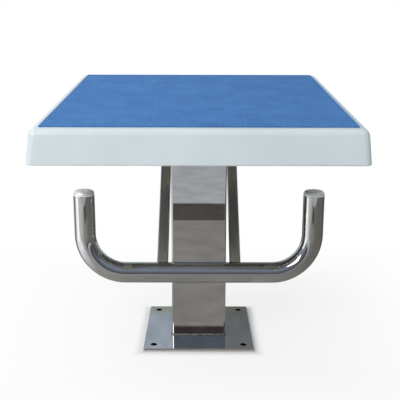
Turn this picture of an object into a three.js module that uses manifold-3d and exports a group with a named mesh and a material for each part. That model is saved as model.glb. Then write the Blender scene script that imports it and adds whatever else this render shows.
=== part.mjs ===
// Swimming starting block: a moulded platform that slopes down to the pool, on
// one stainless column, with a U-shaped backstroke handle carried by two struts.
// Millimetres, +Z up. The pool lies toward -Y, and left is -X, as seen from it.
// The origin is the middle of the base plate's underside.
import * as THREE from "three";
import { mergeVertices } from "three/addons/utils/BufferGeometryUtils.js";
import Module from "manifold-3d";

// Fits
const seat = 0.3; // gap between two pieces that touch
const boltClearance = 0.5; // all round a bolt in its hole
const overrun = 4; // how far a cutter runs past the face that it opens

// Base plate
const baseWidth = 200;
const baseDepth = 200;
const baseThickness = 6;
const baseCorner = 2;
const anchorHole = 12;
const anchorPitch = 164; // each way between the holes' centres

// Column, a rectangular tube, and the flange on its upper end
const columnWidth = 100;
const columnDepth = 80;
const columnWall = 2;
const columnBend = 1; // inner radius of the tube's corners
const weldLeg = 2.5;
const flangeWidth = 180;
const flangeDepth = 140;
const flangeThickness = 8;
const flangeCorner = 6;

// Platform shell, measured at its rim and on its sloping deck
const platformWidth = 505;
const platformLength = 500;
const platformForward = 10; // its middle lies this far in front of the column's
const rimHeight = 368; // above the floor
const frontEdgeHeight = 419; // deck's front edge above the floor
const deckSlopeDegrees = 7.2;
const sideLean = 3.5; // how far each wall leans in from the rim to the deck
const frontLean = 5;
const rearLean = 8;
const deckRound = 11; // rounded edge between the walls and the deck
const rimCorner = 12; // upright corners of the walls, at the rim
const rimRound = 2;
const shellWall = 5;
const deckThickness = 7;
const rimBandWidth = 9; // thicker band along the rim, on the inside
const rimBandHeight = 15;

// Anti-slip mat, let into the deck
const matThickness = 3;
const matRecess = 1.5;
const matSideMargin = 13.5;
const matFrontMargin = 19;
const matRearMargin = 13.5;
const matCorner = 2;

// Frame of mitred rectangular tube inside the shell
const frameWidth = 360;
const frameInset = 14; // from the rim to the frame, at the front and the back
const railWidth = 40;
const railHeight = 30;
const railWall = 2;
const railBend = 1.5; // inner radius of the tube's corners

// Battens between the frame and the deck
const battenCount = 5;
const battenWidth = 24;
const battenOverhang = 15; // past the frame on each side

// Backstroke handle, a bent round tube
const handleDiameter = 38;
const handleWall = 1.5;
const handleWidth = 453; // over the outside of its upright ends
const handleBendRadius = 73; // centre line
const handleHeight = 130; // bar's centre line above the floor
const handleLetIn = 19; // how deep the bar lies in the column's front
const handleRise = 146; // tube's upper ends above the bar's centre line
const capRim = 1.5;
const capShoulder = 8; // radius between the cap's side and its top
const capCrown = 1.2;
const capSpigot = 12;

// Struts, two square tubes from the handle bar to the frame's rear rail
const strutOuterWidth = 155; // over the outside of the pair
const strutSize = 20;
const strutWall = 1.5;
const strutBend = 1.5; // inner radius of the tube's corners
const strutPlateWidth = 66;
const strutPlateDepth = 36;
const strutPlateThickness = 5;
const strutPlateCorner = 3;
const strutBoltPitch = 42;

// Fasteners: hexagon sizes are across the flats
const frameBolt = 10;
const frameBoltHex = 17;
const frameBoltHead = 6.4;
const frameNutHeight = 8;
const frameBoltPitch = 140;
const frameWasherDiameter = 20;
const frameWasherThickness = 2;
const strutBolt = 8;
const strutBoltHex = 13;
const strutBoltHead = 5.3;
const strutNutHeight = 6.5;
const shellScrew = 8;
const shellScrewHex = 13;
const shellScrewHead = 5.3;
const shellScrewGrip = 12; // length inside the batten
const shellScrewTip = 2; // space past its tip
const boltEnd = 3; // how far a bolt stands out of its nut

// Fineness of curves
const cornerSteps = 5;
const roundSides = 16;
const tubeSides = 28;
const bendSteps = 12;
const straightRuns = 3; // of the handle: an upright, the bar and the other upright
const edgeSteps = 6;
const hexSides = 6;
const weldProfileShares = [
  [1, 0],
  [0.75, 0.6],
  [0.25, 1],
];

// Places that follow from the sizes
const slope = THREE.MathUtils.degToRad(deckSlopeDegrees);
const rimFront = -platformForward - platformLength / 2;
const rimRear = rimFront + platformLength;
const deckFront = rimFront + frontLean;
const deckRear = rimRear - rearLean;
const deckWidth = platformWidth - 2 * sideLean;
const deckRun = (deckRear - deckFront) / Math.cos(slope);
const matMiddle = (deckRun + matFrontMargin - matRearMargin) / 2; // along the deck from its front edge
const frameBottom = rimHeight;
const frameTop = frameBottom + railHeight;
const frameFront = rimFront + frameInset;
const frameRear = rimRear - frameInset;
const frameLength = frameRear - frameFront;
const sideRailX = (frameWidth - railWidth) / 2;
const platformMiddle = rimFront + platformLength / 2;
const flangeTop = frameBottom - seat;
const flangeBottom = flangeTop - flangeThickness;
const columnBottom = baseThickness + seat;
const columnTop = flangeBottom - seat;
const columnCorner = columnBend + columnWall;
const handleRadius = handleDiameter / 2;
const handleY = handleLetIn - columnDepth / 2 - handleRadius;
const handleHalfSpan = handleWidth / 2 - handleRadius;
const handleSteps = 2 * bendSteps + straightRuns;
const strutX = strutOuterWidth / 2 - strutSize / 2;
const strutPlateBottom = frameBottom - seat - strutPlateThickness;
const strutEndY = frameRear - railWidth / 2;
const strutEndZ = strutPlateBottom - seat;
const strutRise = strutEndZ - handleHeight;
const strutRun = strutEndY - handleY;
const battenPitch = platformLength / (battenCount + 1);
const bearerPitch = battenPitch; // so the bearers' bolts come up between battens
const screwedBattens = { front: 0, middle: (battenCount - 1) / 2, rear: battenCount - 1 };

// Height of the deck's plane at a place along the platform.
function deckHeight(y) {
  return frontEdgeHeight + (y - deckFront) * Math.tan(slope);
}

// Height of the deck's underside there.
function deckUnderside(y) {
  return deckHeight(y) - deckThickness;
}

const sides = { left: -1, right: 1 };
const ends = { front: -1, rear: 1 };

const mirrorSteel = new THREE.MeshStandardMaterial({ color: 0xb8bcc0, roughness: 0.08, metalness: 1 });
const satinSteel = new THREE.MeshStandardMaterial({ color: 0x9c9fa2, roughness: 0.4, metalness: 1 });
const weldSteel = new THREE.MeshStandardMaterial({ color: 0x98948c, roughness: 0.5, metalness: 1 });
const fastenerSteel = new THREE.MeshStandardMaterial({ color: 0xa9adb0, roughness: 0.35, metalness: 1 });
const gelcoat = new THREE.MeshStandardMaterial({ color: 0xd8e4e8, roughness: 0.35, metalness: 0 });
const blueGrit = new THREE.MeshStandardMaterial({ color: 0x4f84c0, roughness: 0.9, metalness: 0 });
const timber = new THREE.MeshStandardMaterial({ color: 0xb08a5c, roughness: 0.75, metalness: 0 });

const wasm = await Module();
wasm.setup();

// A closed geometry as a solid that can be joined and cut.
function toSolid(geometry) {
  const bare = geometry.clone();
  bare.deleteAttribute("normal");
  bare.deleteAttribute("uv");
  const merged = mergeVertices(bare);
  return new wasm.Manifold(
    new wasm.Mesh({
      numProp: 3,
      vertProperties: merged.attributes.position.array,
      triVerts: new Uint32Array(merged.index.array),
    }),
  );
}

function toGeometry(solid) {
  const mesh = solid.getMesh();
  const geometry = new THREE.BufferGeometry();
  geometry.setAttribute("position", new THREE.BufferAttribute(mesh.vertProperties, mesh.numProp));
  geometry.setIndex(new THREE.BufferAttribute(mesh.triVerts, 1));
  const faceted = geometry.toNonIndexed();
  faceted.computeVertexNormals();
  return faceted;
}

function cut(geometry, ...cutters) {
  return toGeometry(cutters.reduce((rest, cutter) => rest.subtract(toSolid(cutter)), toSolid(geometry)));
}

function join(geometry, ...others) {
  return toGeometry(others.reduce((whole, other) => whole.add(toSolid(other)), toSolid(geometry)));
}

// Outline of a rounded rectangle round the origin, counter-clockwise.
function roundedRectangle(width, length, radius) {
  const points = [];
  for (let corner = 0; corner < 4; corner++) {
    const x = (corner % 3 === 0 ? 1 : -1) * (width / 2 - radius);
    const y = (corner < 2 ? 1 : -1) * (length / 2 - radius);
    for (let step = 0; step <= cornerSteps; step++) {
      const angle = ((corner + step / cornerSteps) * Math.PI) / 2;
      points.push(new THREE.Vector2(x + radius * Math.cos(angle), y + radius * Math.sin(angle)));
    }
  }
  return points;
}

function circle(radius, x = 0, y = 0, count = roundSides) {
  const points = [];
  for (let i = 0; i < count; i++) {
    const angle = (i / count) * 2 * Math.PI;
    points.push(new THREE.Vector2(x + radius * Math.cos(angle), y + radius * Math.sin(angle)));
  }
  return points;
}

function shapeOf(outline, holes) {
  const shape = new THREE.Shape(outline);
  shape.holes = holes.map((hole) => new THREE.Path(hole));
  return shape;
}

// A flat outline given a height along +Z.
function prism(outline, height, ...holes) {
  return new THREE.ExtrudeGeometry(shapeOf(outline, holes), { depth: height, bevelEnabled: false });
}

// Rectangular tube along +Z.
function boxTube(width, height, wall, bend, length) {
  const outer = roundedRectangle(width, height, bend + wall);
  const bore = roundedRectangle(width - 2 * wall, height - 2 * wall, bend);
  return prism(outer, length, bore);
}

// Closed skin over rings of points, from the lowest ring to the highest.
function loft(rings) {
  const count = rings[0].length;
  const top = (rings.length - 1) * count;
  const faces = [];
  for (let start = 0; start < top; start += count) {
    for (let i = 0; i < count; i++) {
      const a = start + i;
      const b = start + ((i + 1) % count);
      faces.push(a, b, b + count, a, b + count, a + count);
    }
  }
  for (let i = 1; i + 1 < count; i++) {
    faces.push(0, i + 1, i, top, top + i, top + i + 1);
  }
  const geometry = new THREE.BufferGeometry();
  const positions = rings.flat().flatMap((point) => point.toArray());
  geometry.setAttribute("position", new THREE.Float32BufferAttribute(positions, 3));
  geometry.setIndex(faces);
  return geometry;
}

// A ring of an outline, at heights that may change along Y.
function ring(outline, middleY, heightAt) {
  return outline.map(({ x, y }) => new THREE.Vector3(x, y + middleY, heightAt(y + middleY)));
}

function piece(name, geometry, material) {
  const mesh = new THREE.Mesh(geometry, material);
  mesh.name = name;
  return mesh;
}

function groupAt(x, y, z, ...children) {
  const group = new THREE.Group();
  group.position.set(x, y, z);
  group.add(...children);
  return group;
}

// Round bar along +Z from a height to another.
function rod(diameter, from, to) {
  return prism(circle(diameter / 2), to - from).translate(0, 0, from);
}

function hexagon(acrossFlats) {
  return circle(acrossFlats / 2 / Math.cos(Math.PI / hexSides), 0, 0, hexSides);
}

// Bolt that points up, with the bearing face of its head at zero.
function bolt(diameter, hex, head, length) {
  return join(prism(hexagon(hex), head).translate(0, 0, -head), rod(diameter, -head / 2, length));
}

function nut(diameter, hex, height) {
  return prism(hexagon(hex), height, circle(diameter / 2 + seat));
}

function washer(diameter, outer, thickness) {
  return prism(circle(outer / 2), thickness, circle(diameter / 2 + seat));
}

function boltHole(diameter) {
  return diameter / 2 + boltClearance;
}

// Base plate with its anchor holes.
function basePlate() {
  const holes = [];
  for (const x of [-anchorPitch / 2, anchorPitch / 2]) {
    for (const y of [-anchorPitch / 2, anchorPitch / 2]) {
      holes.push(circle(anchorHole / 2, x, y));
    }
  }
  return prism(roundedRectangle(baseWidth, baseDepth, baseCorner), baseThickness, ...holes);
}

// Fillet bead round the column, standing on a flat face at zero.
function weldBead() {
  const rings = weldProfileShares.map(([reachShare, heightShare]) => {
    const reach = seat + weldLeg * reachShare;
    const outline = roundedRectangle(columnWidth + 2 * reach, columnDepth + 2 * reach, columnCorner + reach);
    return ring(outline, 0, () => weldLeg * heightShare);
  });
  const inner = roundedRectangle(columnWidth + 2 * seat, columnDepth + 2 * seat, columnCorner + seat);
  return cut(loft(rings), prism(inner, weldLeg + 2 * overrun).translate(0, 0, -overrun));
}

// Flange on the column, with holes for the frame's bolts.
function flange() {
  const holes = [];
  for (const x of [-frameBoltPitch / 2, frameBoltPitch / 2]) {
    for (const y of [-bearerPitch / 2, bearerPitch / 2]) {
      holes.push(circle(boltHole(frameBolt), x, y));
    }
  }
  return prism(roundedRectangle(flangeWidth, flangeDepth, flangeCorner), flangeThickness, ...holes);
}

// What the handle's bar takes out of a piece that it crosses, its centre line at zero.
function saddleCutter(width) {
  const cutter = prism(circle(handleRadius + seat, 0, 0, tubeSides), width + 2 * overrun);
  return cutter.rotateY(Math.PI / 2).translate(-width / 2 - overrun, 0, 0);
}

// Column with a half-round seat across its front, in which the handle's bar lies.
function column() {
  const tube = boxTube(columnWidth, columnDepth, columnWall, columnBend, columnTop - columnBottom);
  return cut(
    tube.translate(0, 0, columnBottom),
    saddleCutter(columnWidth).translate(0, handleY, handleHeight),
  );
}

function columnGroup() {
  return groupAt(
    0,
    0,
    0,
    piece("base_plate", basePlate(), mirrorSteel),
    piece("column", column(), mirrorSteel),
    piece("column_base_weld", weldBead().translate(0, 0, columnBottom), weldSteel),
    piece("column_top_weld", weldBead().rotateX(Math.PI).translate(0, 0, columnTop), weldSteel),
    piece("column_flange", flange().translate(0, 0, flangeBottom), satinSteel),
  );
}

// Tube along X with its middle at the origin and its underside at zero.
function railTube(length) {
  const tube = boxTube(railHeight, railWidth, railWall, railBend, length);
  return tube.rotateY(Math.PI / 2).translate(-length / 2, 0, railHeight / 2);
}

// Upright holes through a rail at places along it.
function railDrills(diameter, places) {
  return places.map((x) => rod(2 * boltHole(diameter), -overrun, railHeight + overrun).translate(x, 0, 0));
}

// Rail with mitred ends, its long side toward +Y.
function mitredRail(length, ...drills) {
  const end = length / 2 - seat;
  const side = railWidth / 2;
  const wedge = [
    new THREE.Vector2(end + overrun, side + overrun),
    new THREE.Vector2(end - railWidth - overrun, -side - overrun),
    new THREE.Vector2(end + overrun, -side - overrun),
  ];
  const right = prism(wedge, railHeight + 2 * overrun).translate(0, 0, -overrun);
  const left = right.clone().rotateY(Math.PI).translate(0, 0, railHeight);
  return cut(railTube(length), right, left, ...drills);
}

// A batten's distance behind the middle of the platform.
function battenPlace(row) {
  return (row - (battenCount - 1) / 2) * battenPitch;
}

function frameRails() {
  const screwPlaces = Object.values(screwedBattens).map(battenPlace);
  const strutPlaces = Object.values(sides).flatMap((side) => [
    side * strutX - strutBoltPitch / 2,
    side * strutX + strutBoltPitch / 2,
  ]);
  const rails = [];
  for (const [name, side] of Object.entries(sides)) {
    const rail = mitredRail(frameLength, ...railDrills(shellScrew, screwPlaces));
    rail.rotateZ((-side * Math.PI) / 2).translate(side * sideRailX, platformMiddle, frameBottom);
    rails.push(piece(`frame_side_rail_${name}`, rail, satinSteel));
  }
  const front = mitredRail(frameWidth).rotateZ(Math.PI);
  const rear = mitredRail(frameWidth, ...railDrills(strutBolt, strutPlaces));
  front.translate(0, frameFront + railWidth / 2, frameBottom);
  rear.translate(0, strutEndY, frameBottom);
  rails.push(piece("frame_front_rail", front, satinSteel));
  rails.push(piece("frame_rear_rail", rear, satinSteel));
  return rails;
}

// Cross tubes that stand on the flange, between the side rails.
function frameBearers() {
  const length = frameWidth - 2 * railWidth - 2 * seat;
  const drills = railDrills(frameBolt, [-frameBoltPitch / 2, frameBoltPitch / 2]);
  return Object.entries(ends).map(([name, end]) => {
    const tube = cut(railTube(length), ...drills).translate(0, (end * bearerPitch) / 2, frameBottom);
    return piece(`frame_bearer_${name}`, tube, satinSteel);
  });
}

// Bolts up through the flange and the bearers, with their washers and nuts.
function frameBolts() {
  const washerBottom = frameTop + seat;
  const nutBottom = washerBottom + frameWasherThickness + seat;
  const head = flangeBottom - seat;
  const length = nutBottom + frameNutHeight + boltEnd - head;
  const pieces = [];
  for (const [row, end] of Object.entries(ends)) {
    for (const [name, side] of Object.entries(sides)) {
      const x = (side * frameBoltPitch) / 2;
      const y = (end * bearerPitch) / 2;
      const shank = bolt(frameBolt, frameBoltHex, frameBoltHead, length).translate(x, y, head);
      const flat = washer(frameBolt, frameWasherDiameter, frameWasherThickness).translate(x, y, washerBottom);
      const lock = nut(frameBolt, frameBoltHex, frameNutHeight).translate(x, y, nutBottom);
      pieces.push(piece(`frame_bolt_${row}_${name}`, shank, fastenerSteel));
      pieces.push(piece(`frame_washer_${row}_${name}`, flat, fastenerSteel));
      pieces.push(piece(`frame_nut_${row}_${name}`, lock, fastenerSteel));
    }
  }
  return pieces;
}

// Outline of the platform at its rim or its deck, drawn in by an inset.
function platformOutline(width, length, inset) {
  return roundedRectangle(width - 2 * inset, length - 2 * inset, Math.max(rimCorner - inset, rimRound));
}

function rimRing(inset, height) {
  return ring(platformOutline(platformWidth, platformLength, inset), platformMiddle, () => height);
}

function deckRing(inset, drop) {
  const outline = platformOutline(deckWidth, deckRear - deckFront, inset);
  return ring(outline, (deckFront + deckRear) / 2, (y) => deckHeight(y) - drop);
}

// Outside of the shell: rim, leaning walls, rounded edge and sloping deck.
function shellOutside() {
  const rings = [rimRing(rimRound, rimHeight), rimRing(0, rimHeight + rimRound)];
  for (let step = 0; step <= edgeSteps; step++) {
    const angle = ((step / edgeSteps) * Math.PI) / 2;
    rings.push(deckRing(deckRound * (1 - Math.cos(angle)), deckRound * (1 - Math.sin(angle))));
  }
  return loft(rings);
}

// Hollow underside, narrower along the rim's thicker band.
function shellHollow() {
  const bandTop = rimHeight + rimBandHeight;
  return loft([
    rimRing(rimBandWidth, rimHeight - overrun),
    rimRing(rimBandWidth, bandTop),
    rimRing(shellWall + sideLean / 2, bandTop + rimBandWidth - shellWall),
    deckRing(shellWall, deckThickness),
  ]);
}

// The mat's outline on the deck, grown by a margin.
function matOutline(margin) {
  const width = deckWidth - 2 * matSideMargin;
  const length = deckRun - matFrontMargin - matRearMargin;
  return roundedRectangle(width + 2 * margin, length + 2 * margin, matCorner + margin);
}

function platformShell() {
  const recess = prism(matOutline(seat), matRecess + overrun).translate(0, matMiddle, -matRecess);
  recess.rotateX(slope).translate(0, deckFront, frontEdgeHeight);
  return cut(shellOutside(), shellHollow(), recess);
}

// The mat lies in a group that is turned with the deck.
function deckGroup() {
  const mat = prism(matOutline(0), matThickness).translate(0, matMiddle, seat - matRecess);
  const group = groupAt(0, deckFront, frontEdgeHeight, piece("anti_slip_mat", mat, blueGrit));
  group.rotation.x = slope;
  return group;
}

// Battens across the frame, their tops cut to the deck's slope.
function battens() {
  const length = frameWidth + 2 * battenOverhang;
  const pieces = [];
  for (let row = 0; row < battenCount; row++) {
    const front = platformMiddle + battenPlace(row) - battenWidth / 2;
    const rear = front + battenWidth;
    const bottom = frameTop + seat;
    const section = [
      new THREE.Vector2(bottom, front),
      new THREE.Vector2(deckUnderside(front) - seat, front),
      new THREE.Vector2(deckUnderside(rear) - seat, rear),
      new THREE.Vector2(bottom, rear),
    ];
    const bar = prism(section, length).rotateY(-Math.PI / 2).translate(length / 2, 0, 0);
    pieces.push(piece(`deck_batten_${row + 1}`, cut(bar, ...screwBores(row)), timber));
  }
  return pieces;
}

// Blind bores for the screws in a batten's underside.
function screwBores(row) {
  if (!Object.values(screwedBattens).includes(row)) return [];
  const top = frameTop + seat + shellScrewGrip + shellScrewTip;
  const bore = rod(shellScrew + 2 * seat, frameTop - overrun, top);
  return Object.values(sides).map((side) =>
    bore.clone().translate(side * sideRailX, platformMiddle + battenPlace(row), 0),
  );
}

// Screws up through the side rails into the battens.
function shellScrews() {
  const head = frameBottom - seat;
  const length = frameTop + seat + shellScrewGrip - head;
  const pieces = [];
  for (const [rowName, row] of Object.entries(screwedBattens)) {
    for (const [name, side] of Object.entries(sides)) {
      const screw = bolt(shellScrew, shellScrewHex, shellScrewHead, length);
      screw.translate(side * sideRailX, platformMiddle + battenPlace(row), head);
      pieces.push(piece(`shell_screw_${rowName}_${name}`, screw, fastenerSteel));
    }
  }
  return pieces;
}

// The handle's centre line in the XZ plane: down, round, across, round and up.
// The steps of a straight run are long ones, and those of a bend are even.
class HandleLine extends THREE.Curve {
  getPoint(t, target = new THREE.Vector3()) {
    const steps = handleSteps * Math.min(t, 1 - t);
    const side = t < 1 / 2 ? -1 : 1;
    const [reach, height] = this.halfPoint(steps);
    return target.set(side * reach, 0, height);
  }

  // Distance from the middle plane and height above the bar, in steps from an end.
  halfPoint(steps) {
    if (steps <= 1) {
      return [handleHalfSpan, handleRise + (handleBendRadius - handleRise) * steps];
    }
    if (steps <= 1 + bendSteps) {
      const angle = (((steps - 1) / bendSteps) * Math.PI) / 2;
      const reach = handleHalfSpan - handleBendRadius * (1 - Math.cos(angle));
      return [reach, handleBendRadius * (1 - Math.sin(angle))];
    }
    return [(handleHalfSpan - handleBendRadius) * (handleSteps - 2 * steps), 0];
  }

  getPointAt(u, target) {
    return this.getPoint(u, target);
  }

  getTangentAt(u, target) {
    return this.getTangent(u, target);
  }
}

function handleBar() {
  const outer = circle(handleRadius, 0, 0, tubeSides);
  const bore = circle(handleRadius - handleWall, 0, 0, tubeSides);
  return new THREE.ExtrudeGeometry(shapeOf(outer, [bore]), {
    steps: handleSteps,
    extrudePath: new HandleLine(),
    bevelEnabled: false,
  });
}

// Cap with a round shoulder, a low crown and a spigot in the tube, its rim's underside at zero.
function handleEndCap() {
  const spigot = handleRadius - handleWall - seat;
  const shoulder = handleRadius - capShoulder;
  const profile = [
    new THREE.Vector2(0, -capSpigot),
    new THREE.Vector2(spigot, -capSpigot),
    new THREE.Vector2(spigot, 0),
    new THREE.Vector2(handleRadius, 0),
  ];
  for (let step = 0; step <= edgeSteps; step++) {
    const angle = ((step / edgeSteps) * Math.PI) / 2;
    const x = shoulder + capShoulder * Math.cos(angle);
    profile.push(new THREE.Vector2(x, capRim + capShoulder * Math.sin(angle)));
  }
  profile.push(new THREE.Vector2(0, capRim + capShoulder + capCrown));
  return new THREE.LatheGeometry(profile, tubeSides).rotateX(Math.PI / 2);
}

// Square tube from the handle bar up to its plate under the rear rail.
function strut() {
  const tilt = Math.atan2(strutRise, strutRun);
  const reach = Math.hypot(strutRise, strutRun) + strutSize;
  const tube = boxTube(strutSize, strutSize, strutWall, strutBend, reach);
  tube.rotateX(tilt - Math.PI / 2);
  const above = prism(roundedRectangle(strutSize + 2 * overrun, reach, strutBend), reach);
  return cut(tube, saddleCutter(strutSize), above.translate(0, strutRun, strutRise));
}

// Plate on a strut's upper end, with a bolt on either side of it.
function strutPlate() {
  const holes = [-strutBoltPitch / 2, strutBoltPitch / 2].map((x) => circle(boltHole(strutBolt), x, 0));
  const outline = roundedRectangle(strutPlateWidth, strutPlateDepth, strutPlateCorner);
  return prism(outline, strutPlateThickness, ...holes);
}

function handleGroup() {
  const group = groupAt(0, handleY, handleHeight, piece("handle_bar", handleBar(), mirrorSteel));
  for (const [name, side] of Object.entries(sides)) {
    const cap = handleEndCap().translate(side * handleHalfSpan, 0, handleRise + seat);
    group.add(piece(`handle_end_cap_${name}`, cap, mirrorSteel));
    group.add(piece(`strut_${name}`, strut().translate(side * strutX, 0, 0), mirrorSteel));
  }
  return group;
}

// Plates, bolts and nuts that hold the struts under the rear rail.
function strutFixings() {
  const head = strutPlateBottom - seat;
  const nutBottom = frameTop + seat;
  const length = nutBottom + strutNutHeight + boltEnd - head;
  const pieces = [];
  for (const [name, side] of Object.entries(sides)) {
    const plate = strutPlate().translate(side * strutX, strutEndY, strutPlateBottom);
    pieces.push(piece(`strut_plate_${name}`, plate, satinSteel));
    for (const [place, step] of Object.entries({ inner: -1, outer: 1 })) {
      const x = side * (strutX + (step * strutBoltPitch) / 2);
      const shank = bolt(strutBolt, strutBoltHex, strutBoltHead, length).translate(x, strutEndY, head);
      const lock = nut(strutBolt, strutBoltHex, strutNutHeight).translate(x, strutEndY, nutBottom);
      pieces.push(piece(`strut_bolt_${name}_${place}`, shank, fastenerSteel));
      pieces.push(piece(`strut_nut_${name}_${place}`, lock, fastenerSteel));
    }
  }
  return pieces;
}

function platformGroup() {
  return groupAt(
    0,
    0,
    0,
    piece("platform_shell", platformShell(), gelcoat),
    deckGroup(),
    ...frameRails(),
    ...frameBearers(),
    ...frameBolts(),
    ...battens(),
    ...shellScrews(),
    ...strutFixings(),
  );
}

const block = new THREE.Group();
block.add(columnGroup(), platformGroup(), handleGroup());

export default block;
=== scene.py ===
# %% [markdown]
# # A swimming starting block, dressed for its portrait
# The block stands at a pool's edge. A moulded platform slopes down to the water,
# one polished column carries it, and a bent tube in front is the grip for
# backstroke starts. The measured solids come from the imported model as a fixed
# frame. This script gives them their finishes, rebuilds a few round pieces more
# finely, and sets up the studio.

import bpy
import bmesh
import math
from mathutils import Matrix, Vector, noise


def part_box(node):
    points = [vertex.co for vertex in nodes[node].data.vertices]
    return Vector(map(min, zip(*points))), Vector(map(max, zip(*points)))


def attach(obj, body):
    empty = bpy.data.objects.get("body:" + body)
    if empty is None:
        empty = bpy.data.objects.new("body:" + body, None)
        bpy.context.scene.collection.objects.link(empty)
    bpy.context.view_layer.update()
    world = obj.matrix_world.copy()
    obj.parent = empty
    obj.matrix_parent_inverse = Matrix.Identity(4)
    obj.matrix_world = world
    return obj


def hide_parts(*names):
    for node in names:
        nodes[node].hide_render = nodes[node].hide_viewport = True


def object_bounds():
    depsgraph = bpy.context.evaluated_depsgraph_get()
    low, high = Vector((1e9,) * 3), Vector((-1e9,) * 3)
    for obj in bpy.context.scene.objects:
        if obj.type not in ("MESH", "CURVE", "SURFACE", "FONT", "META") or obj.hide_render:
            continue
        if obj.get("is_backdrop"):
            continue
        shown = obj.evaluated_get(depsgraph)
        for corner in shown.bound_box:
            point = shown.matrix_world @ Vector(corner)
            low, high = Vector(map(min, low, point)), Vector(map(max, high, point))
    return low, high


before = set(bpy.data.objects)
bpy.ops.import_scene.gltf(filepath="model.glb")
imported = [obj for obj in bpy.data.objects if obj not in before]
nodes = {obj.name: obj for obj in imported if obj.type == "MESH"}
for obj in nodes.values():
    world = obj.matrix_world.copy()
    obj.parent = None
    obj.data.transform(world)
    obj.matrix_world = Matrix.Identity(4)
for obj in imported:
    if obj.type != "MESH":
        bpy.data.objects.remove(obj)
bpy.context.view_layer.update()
MM = 0.001  # a millimetre in metres, the scene's unit

# %% [markdown]
# ## The camera
# The picture is taken from a little over a metre away, just above the platform.
# A camera could be aimed with a constraint, but this one is set by three measured
# angles, so that the perspective is the same in each run.

# %% Camera
CAMERA_PLACE = Vector((-0.1, -1191.0, 531.5)) * MM
CAMERA_PITCH = math.radians(12.913)  # downward
CAMERA_YAW = math.radians(0.1)  # toward +X
CAMERA_ROLL = math.radians(-0.127)
FOCAL_PIXELS = 653.8
PICTURE_PIXELS = 400
SENSOR_WIDTH = 36  # mm
NEAREST, FARTHEST = 0.05, 60  # metres between which the camera sees
QUARTER_TURN = math.radians(90)

camera_data = bpy.data.cameras.new("camera")
camera_data.sensor_width = SENSOR_WIDTH
camera_data.lens = FOCAL_PIXELS / PICTURE_PIXELS * camera_data.sensor_width
camera_data.clip_start = NEAREST
camera_data.clip_end = FARTHEST
camera = bpy.data.objects.new("camera", camera_data)
bpy.context.scene.collection.objects.link(camera)
turn = (
    Matrix.Rotation(-CAMERA_YAW, 4, "Z")
    @ Matrix.Rotation(QUARTER_TURN - CAMERA_PITCH, 4, "X")
    @ Matrix.Rotation(-CAMERA_ROLL, 4, "Z")
)
camera.matrix_world = Matrix.Translation(CAMERA_PLACE) @ turn
bpy.context.scene.camera = camera
print("lens in mm:", round(camera_data.lens, 2))

# %% [markdown]
# ## Colours
# Colours are written as sRGB hex, the way a paint or plastic is matched on a
# screen. Blender computes in linear light, so one function converts them.

# %% Colour helper
def linear(hex_colour):
    """Linear red, green, blue and alpha of a hex colour, by the sRGB standard."""
    parts = [int(hex_colour[i : i + 2], 16) / 255 for i in (1, 3, 5)]
    light = [c / 12.92 if c <= 0.04045 else ((c + 0.055) / 1.055) ** 2.4 for c in parts]
    return (*light, 1.0)


print("white is", linear("#FFFFFF"))

# %% [markdown]
# ## Nodes
# A finish is a small network of nodes, from a place on the surface to the shader.
# It could be drawn by hand in the shader editor, but a script makes the same one
# each time. One small function adds any node with its settings, its links and, on
# a colour ramp, its stops.

# %% Node helper
def add(owner, kind, inputs=None, stops=(), **settings):
    """Add a node to a material or the world.

    An input is a value, a socket to link, or a node, which gives its first
    output. Stops are a colour ramp's places with their hex colours.
    """
    node = owner.node_tree.nodes.new(kind)
    for key, value in settings.items():
        setattr(node, key, value)
    for key, value in (inputs or {}).items():
        if isinstance(value, bpy.types.Node):
            value = value.outputs[0]
        if isinstance(value, bpy.types.NodeSocket):
            owner.node_tree.links.new(value, node.inputs[key])
        else:
            node.inputs[key].default_value = value
    if stops:
        elements = node.color_ramp.elements
        for _ in stops[2:]:
            elements.new(0.5)  # the next loop moves it to its own place
        for element, (at, colour) in zip(elements, stops):
            element.position = at
            element.color = linear(colour)
    return node


def new_material(name):
    material = bpy.data.materials.new(name)
    material.use_nodes = True
    material.node_tree.nodes.clear()
    return material


def finish_material(material, shader):
    add(material, "ShaderNodeOutputMaterial", {"Surface": shader})
    return material


print("helpers:", add.__name__, new_material.__name__, finish_material.__name__)

# %% [markdown]
# ## Polished stainless steel
# The column, the plate and the handle are 304 stainless steel, ground and then
# buffed with compound to a mirror. It keeps a sharp reflection, but sheet is
# never quite flat, so the reflection swims a little, and hands leave a faint
# haze. A picture of smudges would repeat, so two noises do it: one some 60 mm
# across bends the surface, and a finer one dulls it.

# %% Polished stainless steel
SHEET_WAVE = 60 * MM
HAND_HAZE = 18 * MM
CLEAREST, HAZIEST = 0.4, 0.75  # noise values where the haze is least and most


def polished_stainless(name, tint, wave_height, haze_range):
    material = new_material(name)
    place = add(material, "ShaderNodeTexCoord").outputs["Object"]
    wave = add(
        material,
        "ShaderNodeTexNoise",
        {"Vector": place, "Scale": 1 / SHEET_WAVE, "Detail": 1.0},
    )
    haze = add(
        material,
        "ShaderNodeTexNoise",
        {"Vector": place, "Scale": 1 / HAND_HAZE, "Detail": 5.0},
    )
    rough = add(
        material,
        "ShaderNodeMapRange",
        {
            "Value": haze,
            "From Min": CLEAREST,
            "From Max": HAZIEST,
            "To Min": haze_range[0],
            "To Max": haze_range[1],
        },
    )
    bump = add(
        material,
        "ShaderNodeBump",
        {"Height": wave, "Strength": 1.0, "Distance": wave_height},
    )
    steel = add(
        material,
        "ShaderNodeBsdfPrincipled",
        {"Base Color": linear(tint), "Metallic": 1.0, "Roughness": rough, "Normal": bump},
    )
    return finish_material(material, steel)


print("waves some", round(SHEET_WAVE / MM), "mm across")

# %% [markdown]
# ## Three polished steels
# Sheet waves twice as much as drawn tube does. The handle is hazier than the
# sheet, because hands hold it. The struts are only machine polished, so what they
# mirror runs together.

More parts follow.
